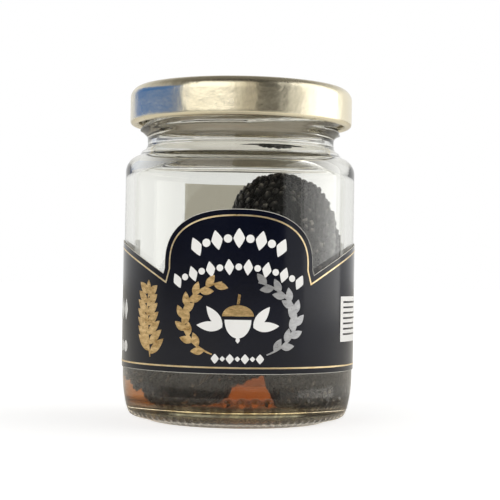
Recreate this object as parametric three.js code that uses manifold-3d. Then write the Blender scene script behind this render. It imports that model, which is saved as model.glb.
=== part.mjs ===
// A whole black truffle in brine, in a small glass jar with a paper label and a twist-off lid.
// Millimetres, +Z up, front towards -Y. The origin is the centre of the ring that the jar stands on.
import * as THREE from 'three';
import { mergeVertices } from 'three/addons/utils/BufferGeometryUtils.js';
import Module from 'manifold-3d';

// ---- Driving dimensions ----
const roundSides = 48; // facets round the jar, the lid and the brine

const bodyRadius = 28.85; // outside of the glass
const wallThickness = 2.35;
const floorHeight = 3.9; // inside floor above the table
const innerCorner = 3.5; // between the inside floor and the wall
const standRadius = 22; // outer edge of the ring it stands on
const heelRadius = 3.1; // of the round edge under the wall
const heelPlace = 24.75; // centre of that round
const heelHeight = 4.15;
const heelTop = 12; // below this the wall draws in a little
const heelDraw = 0.0145;
const shoulderHeight = 61.9; // where the straight wall ends
const neckRadius = 23.5;
const mouthRadius = 21.5;
const finishRadius = 24.55; // glass wall behind the thread
const threadRadius = 25.45;
const rimHeight = 82.1;

const lidRadius = 27.95;
const lidTop = 83.4;
const lidSheet = 0.4;
const lidCorner = 2.9; // radius between the top and the skirt
const lidHem = 1.05; // radius of the rolled edge
const lidHemHeight = 74.8;
const lugCount = 4;
const lugTurn = 35; // degrees from the front to the first lug
const screwLead = 12; // rise of the lid in one turn
const lugInnerRadius = 24.9;
const lugLow = 74.5;
const lugHigh = 75.3;
const lugHalfAngle = 7;
const threadGap = 0.3; // between a lug and the thread above it
const threadDepth = 1;
const threadStart = -122.5; // degrees from the lug that is under it when the lid is tight
const threadEnd = 25;

const labelGap = 0.1;
const labelThickness = 0.25;
const labelBottom = 13.35;
const labelHalfLength = 52; // along the glass, from the front to each end
const archHalfWidth = 18.7;
const archSpring = 38.8; // height at which the front arch's sides turn inwards
const archRise = 13;
const archPower = 2.35; // 2 would be an ellipse, more is squarer
const notchPlace = 19.1; // the low point on each side of the arch
const notchHeight = 36.6;
const wingPlace = 50; // where the rising edge levels out towards the back
const wingHeight = 45;

const brineTop = 27;
const clearance = 0.3; // between pieces that touch

// The truffle is one body, as a bunch of balls that run into each other.
const truffleHeart = new THREE.Vector3(3, 0, 31);
const truffleStretch = new THREE.Vector3(0.75, 0.65, 1); // spreads the triangles evenly over its height
const truffleLobes = [
  { centre: new THREE.Vector3(1, 1, 32), radius: 18.6 }, // body
  { centre: new THREE.Vector3(9.7, -1.5, 50.8), radius: 11.7 }, // upper lobe
  { centre: new THREE.Vector3(14.6, -1.5, 42), radius: 12.4 }, // right shoulder
  { centre: new THREE.Vector3(-9, 3, 29.5), radius: 10.8 }, // left shoulder
  { centre: new THREE.Vector3(3, 12, 27), radius: 13.4 }, // back
  { centre: new THREE.Vector3(-8, -1.6, 11.8), radius: 7.4 }, // left foot
  { centre: new THREE.Vector3(-12, -2.5, 10), radius: 5.5 }, // its outer half
  { centre: new THREE.Vector3(-5.4, -3, 17.6), radius: 7.8 }, // above its inner half
  { centre: new THREE.Vector3(-11, 0.5, 23.5), radius: 10.4 }, // and what joins it to the body
  { centre: new THREE.Vector3(-20.6, -1.5, 15.6), radius: 5.8 }, // knob beside the left foot
  { centre: new THREE.Vector3(14.8, -4, 12.8), radius: 9.6 }, // right foot
  { centre: new THREE.Vector3(18.4, -3.5, 11.4), radius: 8 }, // its outer half
  { centre: new THREE.Vector3(12.2, -5, 9), radius: 5.6 }, // its inner toe
  { centre: new THREE.Vector3(12.5, -1.5, 24.5), radius: 11.4 }, // and what joins it to the body
  { centre: new THREE.Vector3(1.8, -2.5, 21.1), radius: 9.4 }, // between the feet
];
const lobeBlend = 8; // higher keeps the folds between the lobes sharper
const truffleFlat = floorHeight + clearance; // the feet are flat here, where they rest
const truffleGap = 0.9; // least space between it and the glass round it
const truffleDetail = 19;
const swellHeight = 0.8; // low knobs over the whole skin
const wartSize = 3.6;
const wartGroove = 0.9; // depth of the grooves between warts

// ---- Shared helpers ----
const wasm = await Module();
wasm.setup();

function solidFrom(geometry) {
  const bare = geometry.clone();
  bare.deleteAttribute('normal');
  bare.deleteAttribute('uv');
  const merged = mergeVertices(bare, 1e-4);
  return new wasm.Manifold(
    new wasm.Mesh({
      numProp: 3,
      vertProperties: merged.attributes.position.array,
      triVerts: new Uint32Array(merged.index.array),
    }),
  );
}

function geometryFrom(solid) {
  const mesh = solid.getMesh();
  const geometry = new THREE.BufferGeometry();
  geometry.setAttribute('position', new THREE.BufferAttribute(new Float32Array(mesh.vertProperties), 3));
  geometry.setIndex(new THREE.BufferAttribute(new Uint32Array(mesh.triVerts), 1));
  geometry.computeVertexNormals();
  return geometry;
}

// A body of revolution about Z. The profile is a list of [radius, height], with the material on its left.
function turned(profile) {
  const points = profile.map(([radius, height]) => new THREE.Vector2(radius, height));
  return new THREE.LatheGeometry(points, roundSides).rotateX(Math.PI / 2);
}

// Points on a round stretch of a profile.
function arc(centreRadius, centreHeight, radius, fromDegrees, toDegrees, steps) {
  return Array.from({ length: steps + 1 }, (_, i) => {
    const angle = THREE.MathUtils.degToRad(fromDegrees + ((toDegrees - fromDegrees) * i) / steps);
    return [centreRadius + radius * Math.cos(angle), centreHeight + radius * Math.sin(angle)];
  });
}

// A point at an angle round the jar, in radians from the front towards +X.
function around(angle, radius, height) {
  return new THREE.Vector3(radius * Math.sin(angle), -radius * Math.cos(angle), height);
}

// A closed skin through a row of four-cornered sections, with an end cap on the first and the last.
function swept(sections) {
  const corners = 4;
  const positions = sections.flat().flatMap((point) => point.toArray());
  const index = [];
  const last = (sections.length - 1) * corners;
  for (let s = 0; s < sections.length - 1; s += 1) {
    for (let c = 0; c < corners; c += 1) {
      const a = s * corners + c;
      const b = s * corners + ((c + 1) % corners);
      index.push(a, b, a + corners, b, b + corners, a + corners);
    }
  }
  index.push(0, 2, 1, 0, 3, 2);
  index.push(last, last + 1, last + 2, last, last + 2, last + 3);
  const geometry = new THREE.BufferGeometry();
  geometry.setAttribute('position', new THREE.Float32BufferAttribute(positions, 3));
  geometry.setIndex(index);
  return geometry;
}

// Four corners at one angle round the jar, between two radii and two heights.
function cornersAt(angle, innerRadius, outerRadius, low, high) {
  return [
    around(angle, innerRadius, low),
    around(angle, innerRadius, high),
    around(angle, outerRadius, high),
    around(angle, outerRadius, low),
  ];
}

// ---- Jar ----
function jarProfile() {
  const inner = bodyRadius - wallThickness;
  const rimRadius = (finishRadius - mouthRadius) / 2;
  const draw = (height) => [bodyRadius - heelDraw * (heelTop - height) ** 2, height];
  return [
    [0, 2.4],
    [10, 2.2],
    [17, 1.15],
    [19.4, 0.3],
    [20.2, 0],
    [standRadius, 0],
    [22.8, 0.4],
    ...arc(heelPlace, heelHeight, heelRadius, -90, -15, 3),
    ...[5.2, 7, 9.2, heelTop].map(draw),
    ...arc(24.65, shoulderHeight, 4.2, 0, 75, 4),
    ...arc(25.5, 69, 2, 245, 180, 2),
    [neckRadius, 70.2],
    [23.75, 70.9],
    [24.2, 71.5],
    [24.75, 71.95],
    [24.95, 72.4],
    [24.8, 72.85],
    [finishRadius, 73.15],
    ...arc(mouthRadius + rimRadius, rimHeight - rimRadius, rimRadius, 0, 180, 5),
    [mouthRadius, 67.2],
    [21.9, 65.8],
    [23.1, 64.5],
    ...arc(22.6, 60.6, inner - 22.6, 60, 0, 2),
    ...arc(inner - innerCorner, floorHeight + innerCorner, innerCorner, 0, -90, 4),
    [0, floorHeight],
  ];
}

// One of the slanting ribs that the lid's lugs slide under. It climbs towards +X on the front.
function threadRib(turn) {
  const sections = [];
  const steps = 20;
  for (let i = 0; i <= steps; i += 1) {
    const degrees = threadStart + ((threadEnd - threadStart) * i) / steps;
    const rise = (screwLead * (degrees + lugHalfAngle)) / 360;
    const low = lugHigh + threadGap + rise;
    const outer = i === 0 || i === steps ? finishRadius + 0.1 : threadRadius;
    const angle = THREE.MathUtils.degToRad(turn + degrees);
    sections.push(cornersAt(angle, finishRadius - 0.5, outer, low, low + threadDepth));
  }
  return swept(sections);
}

function jarGeometry() {
  let glass = solidFrom(turned(jarProfile()));
  for (let i = 0; i < lugCount; i += 1) {
    glass = glass.add(solidFrom(threadRib(lugTurn + (360 / lugCount) * i)));
  }
  return geometryFrom(glass);
}

// ---- Lid and its sealing ring ----
const panelRing = [
  [8, 82.9],
  [10, 82.5],
  [11, 82.35],
  [19.6, 82.35],
  [20.4, 82.75],
  [21.1, lidTop],
]; // upper side of the stepped panel, from the button to the raised rim

function lidProfile() {
  const cornerCentre = lidRadius - lidCorner;
  const hemCentre = lidRadius - lidHem;
  const under = panelRing.map(([radius, height]) => [radius, height - lidSheet]);
  return [
    [0, 83 - lidSheet],
    ...under,
    ...arc(cornerCentre, lidTop - lidCorner, lidCorner - lidSheet, 90, 0, 5),
    ...arc(hemCentre, lidHemHeight, lidHem, 60, 360, 8),
    ...arc(cornerCentre, lidTop - lidCorner, lidCorner, 0, 90, 5),
    ...[...panelRing].reverse(),
    [0, 83],
  ];
}

function lug(turn) {
  const sections = [-lugHalfAngle, 0, lugHalfAngle].map((degrees) => {
    const angle = THREE.MathUtils.degToRad(turn + degrees);
    return cornersAt(angle, lugInnerRadius, lidRadius - lidHem, lugLow, lugHigh);
  });
  return swept(sections);
}

function lidGeometry() {
  let lid = solidFrom(turned(lidProfile()));
  for (let i = 0; i < lugCount; i += 1) lid = lid.add(solidFrom(lug(lugTurn + (360 / lugCount) * i)));
  return geometryFrom(lid);
}

function sealingRingGeometry() {
  const low = rimHeight + 0.15;
  const high = lidTop - lidSheet - 0.15;
  return turned([
    [21.5, low],
    [25.2, low],
    [25.2, high],
    [21.5, high],
    [21.5, low],
  ]);
}

// ---- Label ----
// Height of the label's upper edge at a distance along the glass from the front.
function labelTop(along) {
  const across = Math.abs(along);
  if (across <= archHalfWidth) {
    const share = 1 - (across / archHalfWidth) ** archPower;
    return archSpring + archRise * share ** (1 / archPower);
  }
  const outwards = THREE.MathUtils.clamp((across - notchPlace) / (wingPlace - notchPlace), 0, 1);
  return notchHeight + (wingHeight - notchHeight) * (1 - (1 - outwards) ** 2);
}

function labelGeometry() {
  const inner = bodyRadius + labelGap;
  const outer = inner + labelThickness;
  const half = [0, 3, 6, 8.5, 11, 13, 14.7, 16.2, 17.3, 18.1, 18.5, archHalfWidth, notchPlace];
  for (let along = 21; along < labelHalfLength; along += 3) half.push(along);
  half.push(labelHalfLength);
  const places = [...half.slice(1).map((along) => -along).reverse(), ...half];
  const sections = places.map((along) =>
    cornersAt(along / outer, inner, outer, labelBottom, labelTop(along)),
  );
  return swept(sections);
}

// ---- Truffle ----
// A number from 0 to 1 that looks random and depends only on the cell.
function scatter(cell, salt) {
  const value = Math.sin(cell.x * 127.1 + cell.y * 311.7 + cell.z * 74.7 + salt * 53.3) * 43758.5453;
  return value - Math.floor(value);
}

// 0 in a groove between two warts, and rising to about 1 at a wart's tip.
function wartProfile(point) {
  const home = point.clone().divideScalar(wartSize).floor();
  let nearest = Infinity;
  let second = Infinity;
  for (let n = 0; n < 27; n += 1) {
    const step = new THREE.Vector3((n % 3) - 1, (Math.floor(n / 3) % 3) - 1, Math.floor(n / 9) - 1);
    const cell = home.clone().add(step);
    const tip = new THREE.Vector3(
      cell.x + scatter(cell, 1),
      cell.y + scatter(cell, 2),
      cell.z + scatter(cell, 3),
    ).multiplyScalar(wartSize);
    const distance = tip.distanceTo(point);
    if (distance < nearest) {
      second = nearest;
      nearest = distance;
    } else if (distance < second) {
      second = distance;
    }
  }
  return Math.min(1, (second - nearest) / (0.5 * wartSize));
}

// Distance from the heart to the smooth lobed surface, with every lobe grown by the same amount.
function lobedRadius(direction, grown) {
  let sum = 0;
  for (const { centre, radius } of truffleLobes) {
    const offset = centre.clone().sub(truffleHeart);
    const along = offset.dot(direction);
    const under = (radius + grown) ** 2 - offset.lengthSq() + along ** 2;
    if (under > 0 && along + Math.sqrt(under) > 0) sum += (along + Math.sqrt(under)) ** lobeBlend;
  }
  return sum ** (1 / lobeBlend);
}

// Furthest that the skin goes from the jar's axis at a height, which follows the glass inside.
function reachAt(height) {
  const drop = Math.max(0, floorHeight + innerCorner - height);
  const round = innerCorner - truffleGap;
  return bodyRadius - wallThickness - innerCorner + Math.sqrt(Math.max(0, round ** 2 - drop ** 2));
}

function swell(point) {
  return Math.sin(point.x / 3.1 + 1.3) * Math.sin(point.y / 2.7 + 0.4) * Math.sin(point.z / 3.7 + 2.1);
}

// Moves every vertex of a ball out to the truffle's skin. floor is the height at which it is cut flat.
function truffleForm(detail, grown, floor, warts) {
  const ball = new THREE.IcosahedronGeometry(1, detail);
  ball.deleteAttribute('normal');
  ball.deleteAttribute('uv');
  const geometry = mergeVertices(ball, 1e-4);
  const position = geometry.getAttribute('position');
  const direction = new THREE.Vector3();
  for (let i = 0; i < position.count; i += 1) {
    direction.fromBufferAttribute(position, i).multiply(truffleStretch).normalize();
    const point = direction.clone().multiplyScalar(lobedRadius(direction, grown)).add(truffleHeart);
    const height = swellHeight * swell(point) - (warts ? wartGroove * (1 - wartProfile(point)) : 0);
    point.addScaledVector(direction, height);
    point.z = Math.max(point.z, floor);
    const reach = warts ? reachAt(point.z) : bodyRadius - wallThickness - truffleGap + clearance;
    const pull = Math.min(1, reach / Math.hypot(point.x, point.y));
    position.setXYZ(i, point.x * pull, point.y * pull, point.z);
  }
  geometry.computeVertexNormals();
  return geometry;
}

// ---- Brine ----
// It fills the jar to brineTop, except where the truffle is.
function brineGeometry() {
  const outer = bodyRadius - wallThickness - clearance;
  const bottom = floorHeight + clearance;
  const fill = turned([
    [0, bottom],
    ...arc(outer - innerCorner + clearance, floorHeight + innerCorner, innerCorner - clearance, -90, 0, 4),
    [outer, brineTop],
    [0, brineTop],
  ]);
  const hollow = truffleForm(truffleDetail, 3 * clearance, bottom - clearance, false);
  return geometryFrom(solidFrom(fill).subtract(solidFrom(hollow)));
}

// ---- Assembly ----
function piece(name, geometry, material) {
  const mesh = new THREE.Mesh(geometry, new THREE.MeshStandardMaterial(material));
  mesh.name = name;
  return mesh;
}

const glass = { color: 0xdfe6df, roughness: 0.03, metalness: 0, transparent: true, opacity: 0.3 };
const liquid = { color: 0x9a4d1c, roughness: 0.05, metalness: 0, transparent: true, opacity: 0.6 };

const jarredTruffle = new THREE.Group();
jarredTruffle.add(
  piece('jar', jarGeometry(), glass),
  piece('lid', lidGeometry(), { color: 0xc9b176, roughness: 0.32, metalness: 1 }),
  piece('sealing_ring', sealingRingGeometry(), { color: 0xe8e2d2, roughness: 0.6, metalness: 0 }),
  piece('label', labelGeometry(), { color: 0x16171c, roughness: 0.4, metalness: 0 }),
  piece('brine', brineGeometry(), liquid),
  piece('truffle', truffleForm(truffleDetail, 0, truffleFlat, true), {
    color: 0x17130f,
    roughness: 0.75,
    metalness: 0,
  }),
);

export default jarredTruffle;
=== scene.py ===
# A whole black truffle in its brine, in a small glass jar with a paper label and a twist-off lid.
# Lengths in the dictionaries are millimetres, Z up, front towards -Y, and the jar stands on Z = 0.
import math

import bmesh
import bpy
import numpy as np
from mathutils import Matrix, Vector


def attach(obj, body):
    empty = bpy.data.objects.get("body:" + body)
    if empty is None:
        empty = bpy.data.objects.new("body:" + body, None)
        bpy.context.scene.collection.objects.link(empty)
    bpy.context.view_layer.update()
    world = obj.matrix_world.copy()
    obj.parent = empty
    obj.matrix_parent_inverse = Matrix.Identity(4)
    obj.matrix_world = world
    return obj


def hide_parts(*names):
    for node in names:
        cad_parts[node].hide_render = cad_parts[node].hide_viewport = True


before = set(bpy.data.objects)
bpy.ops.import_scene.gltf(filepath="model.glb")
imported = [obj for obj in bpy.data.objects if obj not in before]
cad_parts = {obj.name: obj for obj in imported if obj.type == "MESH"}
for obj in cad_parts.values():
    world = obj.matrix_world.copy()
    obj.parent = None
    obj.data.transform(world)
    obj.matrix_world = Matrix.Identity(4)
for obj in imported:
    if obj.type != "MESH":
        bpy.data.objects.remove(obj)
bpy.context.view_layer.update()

mm = 0.001
scene = bpy.context.scene


def addObject(name, mesh):
    obj = bpy.data.objects.new(name, mesh)
    scene.collection.objects.link(obj)
    return obj


def finishMesh(mesh, sharpAngle=38):
    mesh.polygons.foreach_set("use_smooth", [True] * len(mesh.polygons))
    mesh.set_sharp_from_angle(angle=math.radians(sharpAngle))
    mesh.update()


def meshFrom(name, points, faces, sharpAngle=38):
    mesh = bpy.data.meshes.new(name)
    mesh.from_pydata([tuple(p) for p in points], [], faces)
    bm = bmesh.new()
    bm.from_mesh(mesh)
    bmesh.ops.recalc_face_normals(bm, faces=bm.faces)
    bm.to_mesh(mesh)
    bm.free()
    finishMesh(mesh, sharpAngle)
    return mesh


def arc(centreRadius, centreHeight, radius, start, end, steps):
    angles = np.radians(np.linspace(start, end, steps + 1))
    return [(centreRadius + radius * math.cos(a), centreHeight + radius * math.sin(a)) for a in angles]


def fillIn(profile, longest):
    # adds points along the long straight stretches of a profile
    filled = [profile[0]]
    for (r0, z0), (r1, z1) in zip(profile, profile[1:]):
        count = max(1, math.ceil(math.hypot(r1 - r0, z1 - z0) / longest))
        filled += [(r0 + (r1 - r0) * i / count, z0 + (z1 - z0) * i / count) for i in range(1, count + 1)]
    return filled


def turned(name, profile, sides, swell=None, lift=None, closed=False, sharpAngle=38):
    # turns a profile of (radius, height) round Z; swell adds to the radius and lift to the height,
    # each worked out from (angle, radius, height, index)
    points, faces, rings = [], [], []
    for k, (radius, height) in enumerate(profile):
        if radius < 1e-6:
            rings.append([len(points)] * sides)
            points.append((0, 0, height * mm))
            continue
        rings.append(list(range(len(points), len(points) + sides)))
        for i in range(sides):
            angle = 2 * math.pi * i / sides
            out = radius + (swell(angle, radius, height, k) if swell else 0)
            up = height + (lift(angle, radius, height, k) if lift else 0)
            points.append((out * math.sin(angle) * mm, -out * math.cos(angle) * mm, up * mm))
    pairs = list(zip(rings, rings[1:]))
    if closed:
        pairs.append((rings[-1], rings[0]))
    for low, high in pairs:
        for i in range(sides):
            j = (i + 1) % sides
            corners = [low[i], low[j], high[j], high[i]]
            face = [c for n, c in enumerate(corners) if c not in corners[:n]]
            if len(face) > 2:
                faces.append(face)
    return meshFrom(name, points, faces, sharpAngle)


def newMaterial(name):
    material = bpy.data.materials.new(name)
    material.use_nodes = True
    nodes = material.node_tree.nodes
    return material, nodes, material.node_tree.links, nodes["Principled BSDF"]


def setSockets(node, **values):
    for name, value in values.items():
        node.inputs[name.replace("_", " ")].default_value = value


def noiseNode(nodes, links, scale, detail=3.0, roughness=0.55, stretch=(1, 1, 1)):
    place = nodes.new("ShaderNodeTexCoord")
    mapping = nodes.new("ShaderNodeMapping")
    mapping.inputs["Scale"].default_value = stretch
    noise = nodes.new("ShaderNodeTexNoise")
    noise.inputs["Scale"].default_value = scale
    noise.inputs["Detail"].default_value = detail
    noise.inputs["Roughness"].default_value = roughness
    links.new(place.outputs["Object"], mapping.inputs["Vector"])
    links.new(mapping.outputs["Vector"], noise.inputs["Vector"])
    return noise


def ramp(nodes, links, source, stops):
    node = nodes.new("ShaderNodeValToRGB")
    elements = node.color_ramp.elements
    while len(elements) < len(stops):
        elements.new(0.5)
    for element, (place, colour) in zip(elements, stops):
        element.position = place
        element.color = (*colour, 1) if len(colour) == 3 else colour
    links.new(source, node.inputs["Fac"])
    return node.outputs["Color"]


def spread(nodes, links, source, low, high, fromLow=0.0, fromHigh=1.0):
    node = nodes.new("ShaderNodeMapRange")
    node.inputs["From Min"].default_value = fromLow
    node.inputs["From Max"].default_value = fromHigh
    node.inputs["To Min"].default_value = low
    node.inputs["To Max"].default_value = high
    links.new(source, node.inputs["Value"])
    return node.outputs["Result"]


def paint(nodes, links, source, shader, stops):
    links.new(ramp(nodes, links, source, stops), shader.inputs["Base Color"])


def roughen(nodes, links, source, shader, smooth, rough):
    links.new(spread(nodes, links, source, smooth, rough), shader.inputs["Roughness"])


def bump(nodes, links, source, shader, distance, strength=1.0):
    node = nodes.new("ShaderNodeBump")
    node.inputs["Distance"].default_value = distance * mm
    node.inputs["Strength"].default_value = strength
    links.new(source, node.inputs["Height"])
    links.new(node.outputs["Normal"], shader.inputs["Normal"])
    return node


def letLampsThrough(material, shader, tint):
    # clear pieces don't block the lamps from what is inside them or under them
    nodes, links = material.node_tree.nodes, material.node_tree.links
    path = nodes.new("ShaderNodeLightPath")
    clear = nodes.new("ShaderNodeBsdfTransparent")
    clear.inputs["Color"].default_value = tint
    mix = nodes.new("ShaderNodeMixShader")
    links.new(path.outputs["Is Shadow Ray"], mix.inputs[0])
    links.new(shader.outputs[0], mix.inputs[1])
    links.new(clear.outputs[0], mix.inputs[2])
    links.new(mix.outputs[0], nodes["Material Output"].inputs["Surface"])


def makeGlass(name, colour, base, foot, roughness, grain, depth):
    look = {"deep": (0.58, 0.57, 0.33, 1), "density": 14.0}
    material, nodes, links, shader = newMaterial(name)
    setSockets(shader, Roughness=roughness, IOR=1.5, Transmission_Weight=1.0)
    place = nodes.new("ShaderNodeTexCoord")
    split = nodes.new("ShaderNodeSeparateXYZ")
    links.new(place.outputs["Object"], split.inputs["Vector"])
    up = spread(nodes, links, split.outputs["Z"], 0, 1, 0, 6 * mm)  # painted shade: the glass is painted brown low down, for the shade and amber brine seen through the thick base
    paintedStreakShares = [(0.0, 0.55), (0.25, 0.4), (0.5, 0.6), (0.7, 1), (0.88, 1), (1.0, 0)]
    share = ramp(nodes, links, up, [(height, (value, value, value)) for height, value in paintedStreakShares])
    across = nodes.new("ShaderNodeMath")
    across.operation = "ABSOLUTE"
    links.new(split.outputs["X"], across.inputs[0])
    # painted light: the painted brown fades out towards the left and right sides, where the base looks
    # paler
    side = nodes.new("ShaderNodeMath")
    side.operation = "MULTIPLY"
    links.new(share, side.inputs[0])
    links.new(spread(nodes, links, across.outputs[0], 1, 0.15, 16 * mm, 26 * mm), side.inputs[1])
    streak = noiseNode(nodes, links, 420, 3.0, 0.6, (1, 1, 0.3))
    paintedStreaks = ramp(nodes, links, streak.outputs["Fac"], [(0.4, base), (0.6, foot)])
    mix = nodes.new("ShaderNodeMix")
    mix.data_type = "RGBA"
    mix.inputs["A"].default_value = (*colour, 1)
    links.new(side.outputs[0], mix.inputs["Factor"])
    links.new(paintedStreaks, mix.inputs["B"])
    links.new(mix.outputs["Result"], shader.inputs["Base Color"])
    ripple = noiseNode(nodes, links, grain, 1.5, 0.4, (1, 1, 0.45))  # pressed glass is never quite even
    bump(nodes, links, ripple.outputs["Fac"], shader, depth, 0.2)
    volume = nodes.new("ShaderNodeVolumeAbsorption")
    setSockets(volume, Color=look["deep"], Density=look["density"])
    links.new(volume.outputs[0], nodes["Material Output"].inputs["Volume"])
    letLampsThrough(material, shader, (1, 1, 1, 1))
    return material


def makeBrine():
    look = {"deep": (0.81, 0.54, 0.08, 1), "density": 103.0}
    material, nodes, links, shader = newMaterial("truffleBrine")
    setSockets(shader, Base_Color=(0.97, 0.93, 0.88, 1), Roughness=0.08, IOR=1.34, Transmission_Weight=1.0)
    still = noiseNode(nodes, links, 60, 1.0, 0.4)
    bump(nodes, links, still.outputs["Fac"], shader, 0.03, 0.2)
    volume = nodes.new("ShaderNodeVolumeAbsorption")
    setSockets(volume, Color=look["deep"], Density=look["density"])
    links.new(volume.outputs[0], nodes["Material Output"].inputs["Volume"])
    letLampsThrough(material, shader, (0.8, 0.5, 0.25, 1))
    return material


def makeLacquer(name, light, dark, smooth, rough, grain=0.02):
    # gold lacquer over rolled tinplate: faint clouds, fine grain, slight dents and a clear coat
    material, nodes, links, shader = newMaterial(name)
    cloud = noiseNode(nodes, links, 55, 4.0, 0.6)
    paint(nodes, links, cloud.outputs["Fac"], shader, [(0.3, dark), (0.7, light)])
    fine = noiseNode(nodes, links, 1400, 3.0, 0.6)
    dent = noiseNode(nodes, links, 420, 2.0, 0.5)
    relief = nodes.new("ShaderNodeMath")
    relief.operation = "ADD"
    links.new(fine.outputs["Fac"], relief.inputs[0])
    links.new(spread(nodes, links, dent.outputs["Fac"], 0, 3.2), relief.inputs[1])
    roughen(nodes, links, cloud.outputs["Fac"], shader, smooth, rough)
    bump(nodes, links, relief.outputs[0], shader, grain, 0.5)
    setSockets(shader, Metallic=1.0, Coat_Weight=0.25, Coat_Roughness=0.3, Coat_IOR=1.5)
    return material


def makeCompound():
    material, nodes, links, shader = newMaterial("sealingCompound")
    cloud = noiseNode(nodes, links, 300, 4.0, 0.6)
    cream = [(0.3, (0.72, 0.68, 0.58)), (0.7, (0.83, 0.8, 0.71))]
    paint(nodes, links, cloud.outputs["Fac"], shader, cream)
    roughen(nodes, links, cloud.outputs["Fac"], shader, 0.45, 0.65)
    bump(nodes, links, cloud.outputs["Fac"], shader, 0.05, 0.4)
    return material


def makePaper(name, light, dark, smooth, rough, coat=0.0, gloss=0.5):
    material, nodes, links, shader = newMaterial(name)
    fibre = noiseNode(nodes, links, 1500, 5.0, 0.65, (1, 1, 0.5))
    cloud = noiseNode(nodes, links, 120, 3.0, 0.5)
    paint(nodes, links, cloud.outputs["Fac"], shader, [(0.3, dark), (0.7, light)])
    roughen(nodes, links, fibre.outputs["Fac"], shader, smooth, rough)
    bump(nodes, links, fibre.outputs["Fac"], shader, 0.012, 0.5)
    setSockets(shader, Coat_Weight=coat, Coat_Roughness=0.3, Specular_IOR_Level=gloss)
    return material


def makeFoil(name, light, dark):
    material, nodes, links, shader = newMaterial(name)
    fine = noiseNode(nodes, links, 500, 5.0, 0.7, (1, 1, 2.5))
    paint(nodes, links, fine.outputs["Fac"], shader, [(0.38, dark), (0.62, light)])
    roughen(nodes, links, fine.outputs["Fac"], shader, 0.2, 0.4)
    bump(nodes, links, fine.outputs["Fac"], shader, 0.05, 0.6)
    setSockets(shader, Metallic=0.9)
    return material


def makeTruffleSkin():
    # painted shade and highlights: black in the grooves for the shade there and greyer on the wart tips for
    # glints of light, uneven in patches, and damp from the brine
    material, nodes, links, shader = newMaterial("truffleSkin")
    height = nodes.new("ShaderNodeAttribute")
    height.attribute_name = "wartHeight"
    # painted shade in the grooves and painted glints on the wart tips, set by the wart height
    tone = ramp(nodes, links, height.outputs["Fac"], [
        (0.0, (0.0008, 0.0007, 0.0006)),
        (0.16, (0.003, 0.0028, 0.0026)),
        (0.34, (0.055, 0.054, 0.051)),
        (0.58, (0.28, 0.275, 0.26)),
    ])
    patch = noiseNode(nodes, links, 300, 6.0, 0.75)
    shade = ramp(nodes, links, patch.outputs["Fac"], [(0.42, (0.15, 0.15, 0.15)), (0.64, (1.6, 1.5, 1.35))])
    mix = nodes.new("ShaderNodeMix")
    mix.data_type = "RGBA"
    mix.blend_type = "MULTIPLY"
    mix.inputs["Factor"].default_value = 1.0
    links.new(tone, mix.inputs["A"])
    links.new(shade, mix.inputs["B"])
    links.new(mix.outputs["Result"], shader.inputs["Base Color"])
    fine = noiseNode(nodes, links, 1600, 5.0, 0.7)
    crack = nodes.new("ShaderNodeTexVoronoi")
    crack.feature = "DISTANCE_TO_EDGE"
    crack.inputs["Scale"].default_value = 1900
    place = nodes.new("ShaderNodeTexCoord")
    links.new(place.outputs["Object"], crack.inputs["Vector"])
    crackHeight = spread(nodes, links, crack.outputs["Distance"], 0.0, 1.0, 0.0, 0.12)
    both = nodes.new("ShaderNodeMath")
    both.operation = "ADD"
    links.new(fine.outputs["Fac"], both.inputs[0])
    links.new(crackHeight, both.inputs[1])
    bump(nodes, links, both.outputs[0], shader, 0.16, 0.8)
    roughen(nodes, links, patch.outputs["Fac"], shader, 0.1, 0.5)
    setSockets(shader, Specular_IOR_Level=0.25)
    return material


plain = (0.985, 0.988, 0.975)
paintedBaseShade, paintedBaseLight = (0.16, 0.1, 0.03), (0.95, 0.85, 0.52)  # painted shade and light: brown and straw streaks low in the glass stand in for the shade and amber light seen through the base
cloudy = (0.85, 0.75, 0.58)
glassLook = makeGlass("clearGlass", plain, paintedBaseShade, paintedBaseLight, 0.0, 110, 0.045)
# painted light: the rough glass under the base is painted straw all over
stippledLook = makeGlass("stippledGlass", paintedBaseLight, paintedBaseLight, paintedBaseLight, 0.2, 700, 0.15)
stainedLook = makeGlass("stainedGlass", plain, cloudy, cloudy, 0.1, 120, 0.1)
brineLook = makeBrine()
lidLook = makeLacquer("goldLacquer", (0.87, 0.8, 0.62), (0.82, 0.74, 0.54), 0.22, 0.31, 0.045)
lidInsideLook = makePaper("insideEnamel", (0.96, 0.89, 0.77), (0.92, 0.84, 0.71), 0.3, 0.4, 0.3)
compoundLook = makeCompound()
navy, deepNavy = (0.0022, 0.0036, 0.012), (0.0014, 0.0023, 0.008)
inkLook = makePaper("labelInk", navy, deepNavy, 0.1, 0.17, gloss=0.38)
paperLook = makePaper("labelPaper", (0.74, 0.72, 0.66), (0.66, 0.64, 0.58), 0.7, 0.9)
whiteLook = makePaper("whiteInk", (0.9, 0.9, 0.89), (0.86, 0.86, 0.85), 0.35, 0.5)
goldLook = makeFoil("goldFoil", (0.92, 0.66, 0.33), (0.5, 0.32, 0.13))
ruleLook = makeFoil("goldRuleFoil", (0.95, 0.8, 0.52), (0.8, 0.6, 0.32))
silverLook = makeFoil("silverFoil", (0.68, 0.69, 0.72), (0.5, 0.51, 0.54))
skinLook = makeTruffleSkin()
print("materials ready")


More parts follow.
